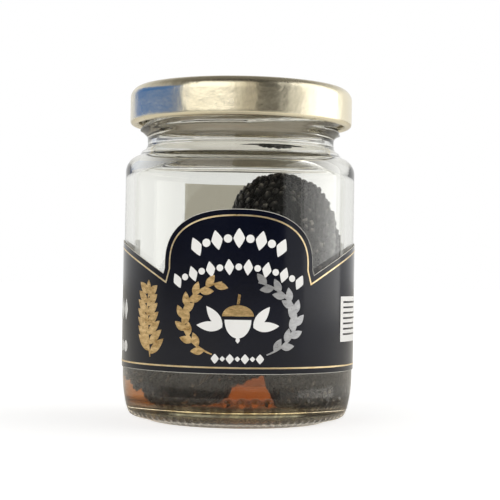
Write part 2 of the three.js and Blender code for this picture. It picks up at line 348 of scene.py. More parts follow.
lid = {  # before the jar, because its lugs place the thread
    "sides": 256,
    "radius": 27.95,
    "top": 83.4,
    "sheet": 0.4,
    "hem": 1.05,
    "hemHeight": 74.8,
    "corner": 2.9,
    "lugs": 4,
    "lugTurn": 35,  # degrees from the front to the first lug
    "lugInner": 24.9,
    "lugLow": 74.5,
    "lugHigh": 75.3,
    "lugHalf": 7,  # degrees
    "lugRound": 0.35,  # how far its ends draw back
    "lugEdge": (0.18, 0.15),  # the chamfer on its inner edge, across and up
    "flutes": 56,
    "fluteDepth": 0.016,
    "fluteSpan": (75.5, 82.2),  # heights on the skirt
    "ring": (21.55, 25.15, 82.28, 82.82),  # inner and outer radius, low and high
    "ringBead": 0.28,
}

jar = {
    "sides": 420,  # five to each ridge of the foot
    "bodyRadius": 28.85,
    "wall": 2.35,
    "floor": 3.9,
    "corner": 3.5,  # inside, between the floor and the wall
    "heelTop": 12.0,  # below this the outside draws in, first gently and then in a round heel
    "heelCurve": 0.0145,
    "heelRadius": 3.1,
    "heelCentre": (24.75, 4.15),
    "punt": [(0, 2.4), (5, 2.35), (10, 2.2), (14, 1.8), (17, 1.15), (18.5, 0.65)],
    "puntEdge": [(19.4, 0.3), (20.1, 0.06)],
    "foot": [(20.6, 0), (22.0, 0), (22.35, 0.12), (22.8, 0.4), (23.4, 0.7), (24.0, 0.91)],
    "shoulder": 61.9,
    "neckRadius": 23.5,
    "mouthRadius": 21.5,
    "finishRadius": 24.55,
    "rim": 82.1,
    "threadRadius": 25.45,
    "threadLow": 75.6,  # underside of a rib over the low end of a lug
    "threadDepth": 1.0,
    "threadSpan": (-122.5, 25),  # degrees from the lug under it
    "threadEase": 0.13,  # radians over which its ends run out to a point
    "threadZone": (70.8, 79, 23.6),  # heights and least radius of the glass that carries it
    "lead": 12.0,
    "knurls": 84,
    "knurlDepth": 0.45,
    "knurlHeight": 1.25,
    "knurlSpread": 0.9,  # up and down from that height
    "knurlZone": (22.1, 3.1),  # least radius and greatest height
    "ripple": 0.12,
    "rippleEdge": 22.5,
    "dots": (-4.6, 2.4, 8.6, 15.2, 36.0, 49.0, 60.5),  # mould dots, in degrees round the heel
    "dotHeight": 6.4,
    "dotRadius": 0.6,
    "dotDepth": 0.45,
    "stippled": (21, 2.9),  # radius and top of the rough glass under the base
    "stained": (24.5, 3.6, 4.8),  # radius, bottom and top of the cloudy glass in the floor
}


def jarOutside():
    j = jar
    body = j["bodyRadius"]
    foot = j["punt"] + j["puntEdge"] + j["foot"]
    heel = arc(*j["heelCentre"], j["heelRadius"], -90, -12, 16)
    side = []
    for height in [*np.arange(3.8, 8.4, 0.4), 9.1, 10, 11, j["heelTop"]]:
        side.append((body - j["heelCurve"] * (j["heelTop"] - height) ** 2, height))
    shoulder = arc(24.65, j["shoulder"], 4.2, 0, 78, 16)
    throat = arc(j["neckRadius"] + 2, 69, 2, 252, 180, 8)
    bead = [(j["neckRadius"], 70.2), (23.58, 70.6), (23.78, 71.0), (24.12, 71.4), (24.5, 71.72)]
    bead += [(24.8, 72.05), (24.93, 72.4), (24.85, 72.75), (24.66, 73.0), (j["finishRadius"], 73.3)]
    lip = (j["finishRadius"] - j["mouthRadius"]) / 2
    rim = arc(j["mouthRadius"] + lip, j["rim"] - lip, lip, 0, 180, 14)
    wall = [(body, j["heelTop"] + 0.4), (body, 30), (body, 50), (body, j["shoulder"] - 0.4)]
    outline = fillIn(foot, 0.7) + heel + side + wall + shoulder + throat + fillIn(bead, 0.6)
    return outline + fillIn([bead[-1], rim[0]], 0.28)[1:] + rim[1:]


def jarInside():
    j = jar
    inner = j["bodyRadius"] - j["wall"]
    hollow = [(j["mouthRadius"], height) for height in (79, 73, 68.2)]
    hollow += [(21.6, 67), (21.95, 65.9), (22.5, 65.05), (23.2, 64.45), (24.0, 64.05)]
    hollow += arc(22.6, 60.6, inner - 22.6, 62, 0, 12)
    hollow += [(inner, 60.2), (inner, 40), (inner, 20), (inner, j["floor"] + j["corner"] + 0.4)]
    hollow += arc(inner - j["corner"], j["floor"] + j["corner"], j["corner"], 0, -88, 16)
    hollow += [(radius, j["floor"]) for radius in np.arange(22.4, 0.5, -0.68)] + [(0, j["floor"])]
    return hollow


def angleApart(a, b):
    return (a - b + math.pi) % (2 * math.pi) - math.pi


def jarSwell(angle, radius, height, index):
    j = jar
    if index >= outsideCount:
        return 0
    out = 0
    if 2 < height < 10 and radius > 26:
        for dot in j["dots"]:
            across = angleApart(angle, math.radians(dot)) * radius / j["dotRadius"]
            along = (height - j["dotHeight"]) / j["dotRadius"]
            away = across**2 + along**2
            out += j["dotDepth"] * math.exp(-away * away)
    if radius > j["knurlZone"][0] and height < j["knurlZone"][1]:
        ridge = 0.5 + 0.5 * math.cos(angle * j["knurls"])
        fade = math.exp(-(((height - j["knurlHeight"]) / j["knurlSpread"]) ** 2))
        out += j["knurlDepth"] * ridge * ridge * fade
    low, high, least = j["threadZone"]
    if low < height < high and radius > least:
        first, last = j["threadSpan"]
        span = math.radians(last - first)
        for quarter in range(4):
            along = (angle - math.radians(lid["lugTurn"] + 90 * quarter + first)) % (2 * math.pi)
            if along > span:
                continue
            past = math.degrees(along) + first + lid["lugHalf"]
            middle = j["threadLow"] + j["lead"] * past / 360 + j["threadDepth"] / 2
            ease = min(1, along / j["threadEase"], (span - along) / j["threadEase"])
            away = abs(height - middle) / (j["threadDepth"] * (0.25 + 0.45 * ease))
            if away < 1:
                out = max(out, (j["threadRadius"] - radius) * min(1, 3 * ease) * (1 - away**3))
    return out


def jarLift(angle, radius, height, index):
    # the mould and the hot glass leave slow rings in the floor and under it
    limit = jar["rippleEdge"]
    if height > 5 or radius > limit or radius < 0.5:
        return 0
    edge = min(1, (limit - radius) / 2) * min(1, radius / 2)
    if index >= outsideCount:
        return jar["ripple"] * edge * (1 + math.sin(2.1 * radius + 0.7 * math.sin(3 * angle + radius / 4)))
    if radius > jar["stippled"][0]:
        return 0
    return jar["ripple"] * edge * (1 + math.sin(1.7 * radius + 0.9 * math.sin(2 * angle + 1 + radius / 5)))


jarProfile = jarOutside()
outsideCount = len(jarProfile)
jarProfile += jarInside()
jarMesh = turned("jarGlass", jarProfile, jar["sides"], jarSwell, jarLift, sharpAngle=180)
jarGlass = addObject("jarGlass", jarMesh)
for look in (glassLook, stippledLook, stainedLook):
    jarMesh.materials.append(look)
stippleRadius, stippleTop = jar["stippled"]
stainRadius, stainBottom, stainTop = jar["stained"]
for face in jarMesh.polygons:
    out = math.hypot(face.center.x, face.center.y)
    height = face.center.z
    if height < stippleTop * mm and out < stippleRadius * mm:
        face.material_index = 1
    elif stainBottom * mm < height < stainTop * mm and out < stainRadius * mm:
        face.material_index = 2
print("jar:", len(jarMesh.polygons), "faces")


def lidProfile():
    top, sheet, corner = lid["top"], lid["sheet"], lid["corner"]
    centre = lid["radius"] - corner
    hemCentre = lid["radius"] - lid["hem"]
    button = [(0, 83.02), (5, 83.0), (7.6, 82.94), (8.8, 82.78), (9.6, 82.56), (10.4, 82.4), (11.2, 82.35)]
    step = [(15, 82.34), (18.9, 82.34), (19.5, 82.4), (19.95, 82.6)]
    step += [(20.35, 82.95), (20.7, 83.25), (21.2, top)]
    upper = button + step
    under = [(r, z - sheet) for r, z in upper]
    skirtInner = lid["radius"] - sheet
    profile = under + [(23.5, top - sheet)]
    profile += arc(centre, top - corner, corner - sheet, 90, 0, 10)
    profile += [(skirtInner, 80), (skirtInner, 77.5)]
    profile += arc(hemCentre, lid["hemHeight"], lid["hem"], 60, 358, 30)
    profile += [(lid["radius"], height) for height in (75.2, 76.4, 78.5, 80.2)]
    profile += arc(centre, top - corner, corner, 0, 90, 18)
    profile += [(24.4, top), (22, top)] + upper[::-1]
    return profile


def lidSwell(angle, radius, height, index):
    # the sheet draws into very faint flutes as the skirt is pressed
    low, high = lid["fluteSpan"]
    if radius < 27 or height < low or height > high:
        return 0
    return lid["fluteDepth"] * math.sin(angle * lid["flutes"]) * math.sin(angle * 9 + 1)


def addLugs(mesh):
    bm = bmesh.new()
    bm.from_mesh(mesh)
    outer = lid["radius"] - lid["sheet"] / 2
    low, high = lid["lugLow"], lid["lugHigh"]
    across, up = lid["lugEdge"]
    for k in range(lid["lugs"]):
        rows = []
        for step in range(9):
            degrees = lid["lugTurn"] + 90 * k - lid["lugHalf"] + 2 * lid["lugHalf"] * step / 8
            a = math.radians(degrees)
            ease = lid["lugRound"] * abs(step - 4) ** 3 / 64
            corners = [
                (lid["lugInner"] + ease, low + up),
                (lid["lugInner"] + ease, high - up),
                (lid["lugInner"] + across + ease, high),
                (outer, high),
                (outer, low),
                (lid["lugInner"] + across + ease, low),
            ]
            row = [(r * math.sin(a) * mm, -r * math.cos(a) * mm, z * mm) for r, z in corners]
            rows.append([bm.verts.new(place) for place in row])
        made = []
        for row, after in zip(rows, rows[1:]):
            for i in range(6):
                j = (i + 1) % 6
                made.append(bm.faces.new([row[i], row[j], after[j], after[i]]))
        made.append(bm.faces.new(rows[0]))
        made.append(bm.faces.new(rows[-1][::-1]))
        bmesh.ops.recalc_face_normals(bm, faces=made)
    bm.to_mesh(mesh)
    bm.free()
    finishMesh(mesh)


def isInsideLid(face):
    # the enamelled side: the roof's underside and the inner face of the skirt
    out = Vector((face.center.x, face.center.y, 0))
    facesDown = face.normal.z < -0.5
    facesIn = face.normal.dot(out.normalized()) < -0.3 and face.center.z > 75.6 * mm
    return (facesDown and face.center.z > 80 * mm) or (facesIn and (facesDown or out.length > 22 * mm))


def ringProfile():
    inner, outer, low, high = lid["ring"]
    bead = lid["ringBead"]
    profile = arc(outer - bead, low + bead, bead, -90, 0, 4)
    profile += arc(outer - bead, high - bead, bead, 0, 90, 4)
    profile += arc(inner + bead, high - bead, bead, 90, 180, 4)
    profile += arc(inner + bead, low + bead, bead, 180, 270, 4)
    return profile


lidMesh = turned("lidShell", lidProfile(), lid["sides"], lidSwell)
insideFaces = [face.index for face in lidMesh.polygons if isInsideLid(face)]
addLugs(lidMesh)
lidShell = addObject("lidShell", lidMesh)
lidMesh.materials.append(lidLook)
lidMesh.materials.append(lidInsideLook)
for index in insideFaces:
    lidMesh.polygons[index].material_index = 1

compoundRing = addObject("compoundRing", turned("compoundRing", ringProfile(), 192, closed=True))
compoundRing.data.materials.append(compoundLook)
print("lid:", len(lidMesh.polygons), "faces")


label = {
    "radius": 28.95,
    "thick": 0.16,
    "inkInset": 0.11,  # the die cuts a hair outside the ink
    "inkThick": 0.02,
    "bottom": 13.35,
    "half": 52.0,  # along the glass from the front to each end
    "archHalf": 18.7,
    "archSpring": 38.8,
    "archRise": 13.0,
    "archPower": 2.35,
    "notch": (19.1, 36.6),
    "wing": (50.0, 45.0),
    "ruleInset": 1.28,
    "ruleWidth": 0.38,
    "printHeight": 0.03,
}


def labelOutline():
    # upper edge from left to right, then back along the bottom
    power = label["archPower"]
    arch = []
    for i in range(61):
        t = math.pi * i / 60
        c, s = math.cos(t), math.sin(t)
        across = -label["archHalf"] * math.copysign(abs(c) ** (2 / power), c)
        arch.append((across, label["archSpring"] + label["archRise"] * s ** (2 / power)))
    (notchX, notchZ), (wingX, wingZ) = label["notch"], label["wing"]
    wing = []
    for i in range(25):
        share = i / 24
        wing.append((notchX + (wingX - notchX) * share, notchZ + (wingZ - notchZ) * (1 - (1 - share) ** 2)))
    right = wing + [(label["half"], wingZ)]
    left = [(-x, z) for x, z in reversed(right)]
    top = left + [(-label["archHalf"], label["archSpring"] - 0.9)] + arch
    top += [(label["archHalf"], label["archSpring"] - 0.9)] + right
    return top + [(label["half"], label["bottom"]), (-label["half"], label["bottom"])]


def inset(outline, distance):
    # moves every side of a clockwise outline inwards
    moved = []
    count = len(outline)
    for i, (x, z) in enumerate(outline):
        px, pz = outline[i - 1]
        nx, nz = outline[(i + 1) % count]
        a = Vector((x - px, z - pz)).normalized()
        b = Vector((nx - x, nz - z)).normalized()
        na, nb = Vector((a.y, -a.x)), Vector((b.y, -b.x))
        corner = (na + nb).normalized()
        reach = distance / max(0.35, corner.dot(na))
        moved.append((x + corner.x * reach, z + corner.y * reach))
    return moved


def flatPiece(name, outlines, radius, thickness):
    # fills flat outlines (a loop inside a loop is a hole), then wraps them round the jar
    curve = bpy.data.curves.new(name, "CURVE")
    curve.dimensions = "2D"
    curve.fill_mode = "BOTH"
    curve.extrude = thickness / 2
    for outline in outlines:
        spline = curve.splines.new("POLY")
        spline.points.add(len(outline) - 1)
        for point, (x, z) in zip(spline.points, outline):
            point.co = (x, z, 0, 1)
        spline.use_cyclic_u = True
    flat = addObject(name, curve)
    mesh = bpy.data.meshes.new_from_object(flat.evaluated_get(bpy.context.evaluated_depsgraph_get()))
    bpy.data.objects.remove(flat)
    bpy.data.curves.remove(curve)
    bm = bmesh.new()
    bm.from_mesh(mesh)
    bmesh.ops.remove_doubles(bm, verts=bm.verts, dist=1e-4)
    low = min(v.co.x for v in bm.verts)
    high = max(v.co.x for v in bm.verts)
    step = 0.75
    cut = math.ceil(low / step) * step
    while cut < high:
        everything = bm.verts[:] + bm.edges[:] + bm.faces[:]
        bmesh.ops.bisect_plane(bm, geom=everything, dist=1e-5, plane_co=(cut, 0, 0), plane_no=(1, 0, 0))
        cut += step
    for vert in bm.verts:
        angle = vert.co.x / label["radius"]
        out = radius + thickness / 2 + vert.co.z
        height = vert.co.y
        vert.co = (out * math.sin(angle) * mm, -out * math.cos(angle) * mm, height * mm)
    bmesh.ops.recalc_face_normals(bm, faces=bm.faces)
    bm.to_mesh(mesh)
    bm.free()
    mesh.name = name
    finishMesh(mesh, 30)
    return mesh


outline = labelOutline()
labelMesh = flatPiece("labelStrip", [outline], label["radius"], label["thick"])
labelStrip = addObject("labelStrip", labelMesh)
labelMesh.materials.append(paperLook)
print("label:", len(labelMesh.polygons), "faces")


printing = {
    # height, arc radius, count, spacing, lozenge's half height and half width, disc's radius
    "rows": [(45.0, 25.0, 9, 2.6, 2.325, 1.35, 0.972), (38.3, 34.0, 15, 2.2, 1.875, 1.1, 0.792)],
    "wreath": (0.4, 26.0, 13.6, 9.2),  # middle, half width, half height
    "wreathTurns": (-62, 72),
    "wreathLeaf": (3.5, 0.95, 0.55),  # length, width, lean
    "branchPlace": 23.0,
    "branchHeights": (16.6, 31.8),
    "branchLeaf": (6.0, 4.0, 1.15, 50),  # lengths low and high, width, degrees off the stem
    "acornNut": (26.0, 3.1, 4.3),  # height, half width, depth
    "acornCap": (26.8, 3.7, 2.6),
    "footRow": (16.9, 7, 1.75),  # height, count, spacing
    "footLozenges": [(0.95, 1.15), (0.62, 0.62)],  # half width and half height, in turn
    "oakLeaf": (3.6, 24.2, 6.2, 1.25),  # place, height, length, width
    "panel": (29.5, 43.5, 20.6, 31.6),  # left, right, low, high
    "panelEdge": 1.4,
    "ruleSpacing": 1.3,
    "ruleHeight": 0.45,
    "sideLozenges": (27.6, 1.3, 2.6),  # height, half width, half height
    "sideDiscs": (18.6, 1.4),  # height, radius
    "sidePlaces": (-35.6, -38.8, -42.0),
}


def turnedPoint(x, z, across, up, turn):
    c, s = math.cos(turn), math.sin(turn)
    return x + across * c - up * s, z + across * s + up * c


def lozenge(x, z, halfWidth, halfHeight, turn=0.0):
    corners = []
    for i in range(24):
        t = 2 * math.pi * i / 24
        c, s = math.cos(t), math.sin(t)
        across = halfWidth * math.copysign(abs(c) ** 1.7, c)
        up = halfHeight * math.copysign(abs(s) ** 1.7, s)
        corners.append(turnedPoint(x, z, across, up, turn))
    return corners


def disc(x, z, radius):
    turns = [2 * math.pi * i / 20 for i in range(20)]
    return [(x + radius * math.cos(t), z + radius * math.sin(t)) for t in turns]


def leaf(x, z, length, width, turn):
    points = []
    for side in (1, -1):
        for i in range(9):
            t = i / 9 if side == 1 else 1 - i / 9
            bulge = side * width * math.sin(math.pi * t) ** 0.8 * (1.1 - 0.35 * t)
            points.append(turnedPoint(x, z, length * t, bulge, turn))
    return points


def ribbon(path, width):
    # a thin band along a path, tapering at both ends
    left, right = [], []
    for i, (x, z) in enumerate(path):
        ax, az = path[max(0, i - 1)]
        bx, bz = path[min(len(path) - 1, i + 1)]
        along = Vector((bx - ax, bz - az)).normalized()
        half = width / 2 * (0.35 + 0.65 * math.sin(math.pi * i / (len(path) - 1)))
        left.append((x - along.y * half, z + along.x * half))
        right.append((x + along.y * half, z - along.x * half))
    return left + right[::-1]


def archRows():
    shapes = []
    for height, arcRadius, count, spacing, halfHeight, halfWidth, discRadius in printing["rows"]:
        for i in range(count):
            turn = (i - (count - 1) / 2) * spacing / arcRadius
            x = arcRadius * math.sin(turn)
            z = height - arcRadius * (1 - math.cos(turn))
            if i % 2:
                shapes.append(disc(x, z, discRadius))
            else:
                shapes.append(lozenge(x, z, halfWidth, halfHeight, -turn))
    return shapes


def wreathHalf(side):
    x0, z0, halfWidth, halfHeight = printing["wreath"]
    first, last = printing["wreathTurns"]
    length, width, tilt = printing["wreathLeaf"]
    stem, leaves = [], []
    for i in range(31):
        t = math.radians(first + (last - first) * i / 30)
        stem.append((x0 + side * halfWidth * math.cos(t), z0 + halfHeight * math.sin(t)))
    for i in range(2, 30, 2):
        (x, z), (nx, nz) = stem[i], stem[i + 1]
        along = math.atan2(nz - z, nx - x)
        lean = tilt if (i // 2) % 2 else -tilt
        leaves.append(leaf(x, z, length, width, along + lean))
    return [ribbon(stem, 0.9)], leaves


def branch(side):
    low, high = printing["branchHeights"]
    place = printing["branchPlace"] * side
    longest, shortest, width, lean = printing["branchLeaf"]
    stem, leaves = [], []
    for i in range(21):
        t = i / 20
        stem.append((place + side * 1.3 * math.sin(2.4 * t), low + (high - low) * t))
    for i in range(1, 20, 3):
        x, z = stem[i]
        size = longest + (shortest - longest) * i / 20
        leaves.append(leaf(x, z, size, width, math.radians(90 - lean)))
        leaves.append(leaf(x, z + 0.7, size, width, math.radians(90 + lean)))
    leaves.append(leaf(*stem[-1], 3.2, 0.8, math.radians(90)))
    return [ribbon(stem, 0.8)], leaves


def acorn():
    height, half, deep = printing["acornNut"]
    turns = np.radians(np.linspace(180, 360, 25))
    nut = [(half * math.cos(t), height + deep * math.sin(t)) for t in turns]
    nut = nut[:12] + [(-0.5, 21.1), (0, 20.5), (0.5, 21.1)] + nut[13:]  # its tip
    height, half, high = printing["acornCap"]
    turns = np.radians(np.linspace(0, 180, 21))
    cap = [(half * math.cos(t), height + high * math.sin(t)) for t in turns]
    stalk = [(-0.32, 29.6), (0.32, 29.6), (0.6, 31.8), (0.0, 32.0)]
    return nut, cap, stalk


def oakLeaves():
    place, height, length, width = printing["oakLeaf"]
    leaves = []
    for side in (-1, 1):
        for lean in (-24, 24):
            turn = math.radians(90 - side * (62 + lean))
            leaves.append(leaf(side * place, height, length, width, turn))
    return leaves


def footRow():
    height, count, spacing = printing["footRow"]
    sizes = printing["footLozenges"]
    return [lozenge((i - (count - 1) / 2) * spacing, height, *sizes[i % 2]) for i in range(count)]


def sideMarks():
    height, halfWidth, halfHeight = printing["sideLozenges"]
    discHeight, radius = printing["sideDiscs"]
    lozenges = [lozenge(x, height, halfWidth, halfHeight) for x in printing["sidePlaces"]]
    return lozenges + [disc(x, discHeight, radius) for x in printing["sidePlaces"][:2]]


def box2d(left, right, low, high):
    return [(left, low), (right, low), (right, high), (left, high)]


def panelRules():
    left, right, low, _ = printing["panel"]
    edge = printing["panelEdge"]
    rules = []
    for i in range(7):
        z = low + 1.6 + i * printing["ruleSpacing"]
        rules.append(box2d(left + edge, right - edge - i % 3, z, z + printing["ruleHeight"]))
    return rules


inkRadius = label["radius"] + label["thick"] + 0.002
printRadius = inkRadius + label["inkThick"] + 0.002
raised = label["printHeight"]
inkPanel = flatPiece("inkPanel", [inset(outline, label["inkInset"])], inkRadius, label["inkThick"])
inkPanel.materials.append(inkLook)
rule = [inset(outline, label["ruleInset"]), inset(outline, label["ruleInset"] + label["ruleWidth"])]
goldStem, goldLeaves = wreathHalf(-1)
silverStem, silverLeaves = wreathHalf(1)
leftStem, leftLeaves = branch(-1)
nut, cap, stalk = acorn()
panel = box2d(*printing["panel"])
printLayers = [
    ("goldRule", [rule], ruleLook),
    ("goldBranches", [goldStem, leftStem], goldLook),
    ("silverBranches", [silverStem], silverLook),
    ("whiteMotifs", [archRows(), footRow(), sideMarks(), [panel]], whiteLook),
]
printed = [addObject("inkPanel", inkPanel)]
for name, groups, look in printLayers:
    mesh = flatPiece(name, [shape for group in groups for shape in group], printRadius, raised)
    mesh.materials.append(look)
    printed.append(addObject(name, mesh))
overprint = [
    ("goldLeaves", goldLeaves + leftLeaves, goldLook),
    ("silverLeaves", silverLeaves, silverLook),
    ("acornNut", [nut] + oakLeaves(), whiteLook),
    ("acornCap", [cap, stalk], goldLook),
    ("panelRules", panelRules(), inkLook),
]
for name, shapes, look in overprint:
    bmAll = bmesh.new()
    for k, shape in enumerate(shapes):
        part = flatPiece(name + "Part", [shape], printRadius + raised * 0.4 + 0.002 * (k % 3), raised)
        bmAll.from_mesh(part)
        bpy.data.meshes.remove(part)
    mesh = bpy.data.meshes.new(name)
    bmAll.to_mesh(mesh)
    bmAll.free()
    finishMesh(mesh, 30)
    mesh.materials.append(look)
    printed.append(addObject(name, mesh))
print("printing:", len(printed), "layers")


truffle = {
    "heart": (3.0, 0.0, 31.0),
    "stretch": (0.75, 0.65, 1.0),
    "lobes": [  # x, y, z, radius
        (1, 1, 32, 18.6),  # body
        (9.7, -1.5, 50.8, 11.7),  # upper lobe
        (14.6, -1.5, 42, 12.4),  # right shoulder
        (-9, 3, 29.5, 10.8),  # left shoulder
        (3, 12, 27, 13.4),  # back
        (-8, -1.6, 11.8, 7.4),  # left foot
        (-12, -2.5, 10, 5.5),  # its outer half
        (-5.4, -3, 17.6, 7.8),  # above its inner half
        (-11, 0.5, 23.5, 10.4),  # and what joins it to the body
        (-20.6, -1.5, 15.6, 5.8),  # knob beside the left foot
        (14.8, -4, 12.8, 9.6),  # right foot
        (18.4, -3.5, 11.4, 8),  # its outer half
        (12.2, -5, 9, 5.6),  # its inner toe
        (12.5, -1.5, 24.5, 11.4),  # and what joins it to the body
        (1.8, -2.5, 21.1, 9.4),  # between the feet
    ],
    "blend": 8,  # higher keeps the folds between the lobes sharper
    "flat": 4.2,  # its underside, just clear of the floor
    "gap": 0.9,  # to the glass round it
    "swell": 0.8,  # low knobs over the whole skin
    "wart": 1.7,
    "groove": 1.2,
    "fineWart": 0.75,
    "fineGroove": 0.3,
}


def scatter(cell, salt):
    value = np.sin(cell @ np.array([127.1, 311.7, 74.7]) + salt * 53.3) * 43758.5453
    return value - np.floor(value)


def cellField(points, size):
    # distances to the nearest and second nearest wart tip, and a number for the nearest wart
    home = np.floor(points / size)
    nearest = np.full(len(points), 1e9)
    second = np.full(len(points), 1e9)
    owner = np.zeros(len(points))
    for n in range(27):
        cell = home + np.array([n % 3 - 1, n // 3 % 3 - 1, n // 9 - 1])
        tip = (cell + np.stack([scatter(cell, k) for k in (1, 2, 3)], axis=1)) * size
        distance = np.linalg.norm(tip - points, axis=1)
        closer = distance < nearest
        second = np.where(closer, nearest, np.minimum(second, distance))
        owner = np.where(closer, scatter(cell, 4), owner)
        nearest = np.where(closer, distance, nearest)
    return nearest, second, owner


def lobedRadius(directions):
    total = np.zeros(len(directions))
    for x, y, z, radius in truffle["lobes"]:
        offset = np.array([x, y, z]) - np.array(truffle["heart"])
        along = directions @ offset
        under = radius**2 - offset @ offset + along**2
        reach = along + np.sqrt(np.maximum(under, 0))
        total += np.where((under > 0) & (reach > 0), np.maximum(reach, 0) ** truffle["blend"], 0)
    return total ** (1 / truffle["blend"])


def truffleMesh():
    bm = bmesh.new()
    bmesh.ops.create_icosphere(bm, subdivisions=6, radius=1)
    bmesh.ops.subdivide_edges(bm, edges=bm.edges, cuts=2, use_grid_fill=True)
    bmesh.ops.triangulate(bm, faces=bm.faces)
    mesh = bpy.data.meshes.new("truffleBody")
    bm.to_mesh(mesh)
    bm.free()
    count = len(mesh.vertices)
    flat = np.empty(count * 3)
    mesh.vertices.foreach_get("co", flat)
    directions = flat.reshape(-1, 3) * np.array(truffle["stretch"])
    directions /= np.linalg.norm(directions, axis=1)[:, None]
    points = directions * lobedRadius(directions)[:, None] + np.array(truffle["heart"])
    x, y, z = points.T
    knobs = np.sin(x / 3.1 + 1.3) * np.sin(y / 2.7 + 0.4) * np.sin(z / 3.7 + 2.1)
    nearest, second, owner = cellField(points, truffle["wart"])
    wart = np.minimum(1, (second - nearest) / (0.8 * truffle["wart"]))
    tip = wart
    wart = wart * (2 - wart)  # round-topped
    fineNearest, fineSecond, _ = cellField(points, truffle["fineWart"])
    fine = np.minimum(1, (fineSecond - fineNearest) / (0.5 * truffle["fineWart"]))
    height = truffle["swell"] * knobs - truffle["groove"] * (1 - wart) * (0.75 + 0.5 * owner)
    height -= truffle["fineGroove"] * (1 - fine)
    points += directions * height[:, None]
    points[:, 2] = np.maximum(points[:, 2], truffle["flat"])
    drop = np.maximum(0, jar["floor"] + jar["corner"] - points[:, 2])
    around = np.sqrt(np.maximum(0, (jar["corner"] - truffle["gap"]) ** 2 - drop**2))
    reach = jar["bodyRadius"] - jar["wall"] - jar["corner"] + around
    points[:, :2] *= np.minimum(1, reach / np.hypot(points[:, 0], points[:, 1]))[:, None]
    mesh.vertices.foreach_set("co", (points * mm).ravel())
    # the wart height also sets the painted glints on the tips and the painted shade in the grooves
    tone = mesh.attributes.new("wartHeight", "FLOAT", "POINT")
    tone.data.foreach_set("value", np.clip(tip * (0.5 + 0.5 * fine), 0, 1))
    finishMesh(mesh, 180)
    return mesh


truffleBody = addObject("truffleBody", truffleMesh())
truffleBody.data.materials.append(skinLook)
print("truffle:", len(truffleBody.data.polygons), "faces")


brine = {"level": 26.8, "climb": 0.2, "overlap": 0.05}  # it climbs a little up the glass


def brineProfile():
    inner = jar["bodyRadius"] - jar["wall"] + brine["overlap"]
    bottom = jar["floor"] - brine["overlap"]
    profile = [(0, bottom), (12, bottom), (22, bottom)]
    profile += arc(inner - jar["corner"], bottom + jar["corner"], jar["corner"], -90, 0, 14)
    level, climb = brine["level"], brine["climb"]
    profile += [(inner, bottom + jar["corner"] + 0.4), (inner, 18), (inner, level + climb)]
    profile += [(inner - 0.3, level + climb * 0.45), (inner - 0.9, level + climb * 0.12)]
    profile += [(inner - 2, level), (12, level), (0, level)]
    return profile


brineBody = addObject("brineBody", turned("brineBody", brineProfile(), 192, sharpAngle=50))
brineBody.data.materials.append(brineLook)
print("brine ready")


for piece, body, node, slot in [
    (jarGlass, "jar", "jar", "glass"),
    (labelStrip, "jar", "label", "label_paper"),
    (truffleBody, "jar", "truffle", "truffle_flesh"),
    (brineBody, "jar", "brine", "brine"),
    (compoundRing, "seal", "sealing_ring", "ring_compound"),
    (lidShell, "lid", "lid", "lid_metal"),
]:
    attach(piece, body)
    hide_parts(node)
for piece in printed:
    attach(piece, "jar")


studio = {
    # azimuth from the front, distance, width, height, middle height, colour times radiance
    "keyBox": (-34, 0.62, 0.62, 0.8, 0.53, (1.65, 1.63, 1.58)),
    "sideBox": (90, 0.52, 0.5, 0.8, 0.41, (1.42, 1.41, 1.38)),
    "paleBox": (54, 0.55, 0.19, 0.9, 0.46, (0.56, 0.56, 0.55)),
    "goldBox": (3, 0.55, 0.2, 0.8, 0.53, (0.7, 0.65, 0.55)),
    "fillBox": (8, 0.6, 0.6, 0.6, 0.5, (2.7, 2.7, 2.7)),
    "blueCard": (-101.5, 0.5, 0.92, 0.225, 0.2175, (0.045, 0.165, 0.5)),
    "backCard": (180, 0.3, 0.0752, 0.0375, 0.0688, (0.42, 0.395, 0.325)),
}


def facing(azimuth, distance, height):
    a = math.radians(azimuth)
    place = Vector((math.sin(a) * distance, -math.cos(a) * distance, height))
    target = Vector((0, 0, height))
    return place, (target - place).to_track_quat("-Z", "Y").to_euler()


def addSoftbox(name, azimuth, distance, width, height, middle, colour, onlyOn=None):
    data = bpy.data.lights.new(name, "AREA")
    data.shape = "RECTANGLE"
    data.size = width
    data.size_y = height
    data.energy = max(colour) * math.pi * width * height
    data.color = [c / max(colour) for c in colour]
    lamp = addObject(name, data)
    lamp.location, lamp.rotation_euler = facing(azimuth, distance, middle)
    lamp.visible_camera = False
    if onlyOn:
        group = bpy.data.collections.new(name + "Lights")
        for piece in onlyOn:
            group.objects.link(piece)
        lamp.light_linking.receiver_collection = group


def flatSquare(name, x, y):
    mesh = bpy.data.meshes.new(name)
    mesh.from_pydata([(-x, -y, 0), (x, -y, 0), (x, y, 0), (-x, y, 0)], [], [(0, 1, 2, 3)])
    return mesh


